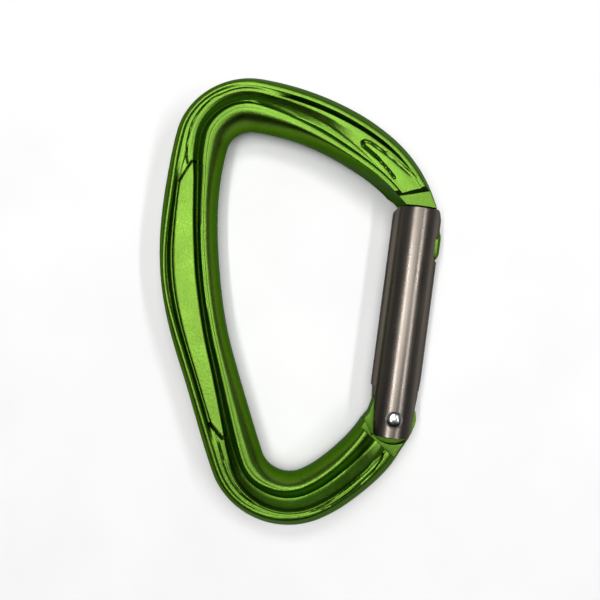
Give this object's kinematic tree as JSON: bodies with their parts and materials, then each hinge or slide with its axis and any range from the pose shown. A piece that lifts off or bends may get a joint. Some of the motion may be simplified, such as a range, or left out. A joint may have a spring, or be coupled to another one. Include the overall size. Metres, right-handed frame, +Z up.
{
  "type": "carabiner",
  "caption": "Straight-gate keylock carabiner: forged asymmetric-D body with a sprung solid-bar gate that opens inward on a hinge rivet.",
  "frame": {"origin": "below the centre of the outline, on the plane of the lower side rims that the carabiner lies on", "axes": "+X from the spine towards the gate, +Y from the hinge towards the nose along the shut gate, +Z up through the thickness"},
  "size_m": [0.0592, 0.0939, 0.0116],
  "materials": {
    "body_anodised": "green anodised, fine blasted forging",
    "gate_anodised": "warm grey anodised, turned along its length",
    "rivet_steel": "polished stainless steel",
    "spring_steel": "drawn spring wire",
    "rod_steel": "turned stainless steel"
  },
  "bodies": {
    "body": {"frame": "body_anodised"},
    "gate": {"gate": "gate_anodised", "hinge_rivet": "rivet_steel", "gate_spring": "spring_steel"},
    "push_rod": {"push_rod": "rod_steel"}
  },
  "joints": [
    {"name": "gate_hinge", "type": "hinge", "parent": "body", "child": "gate", "pos_m": [0.0241, -0.0208, 0.0058], "axis": [0, 0, 1], "range_deg": [0, 32], "stiffness_Nm_per_rad": 0.35, "springref_deg": -28.65},
    {"name": "push_rod_slide", "type": "slide", "parent": "gate", "child": "push_rod", "axis": [0, 1, 0], "range_m": [0, 0.00085], "deforming": ["gate_spring"]}
  ],
  "couplings": [
    {"joint": "push_rod_slide", "follows": "gate_hinge", "m_per_rad": 0.0015}
  ]
}
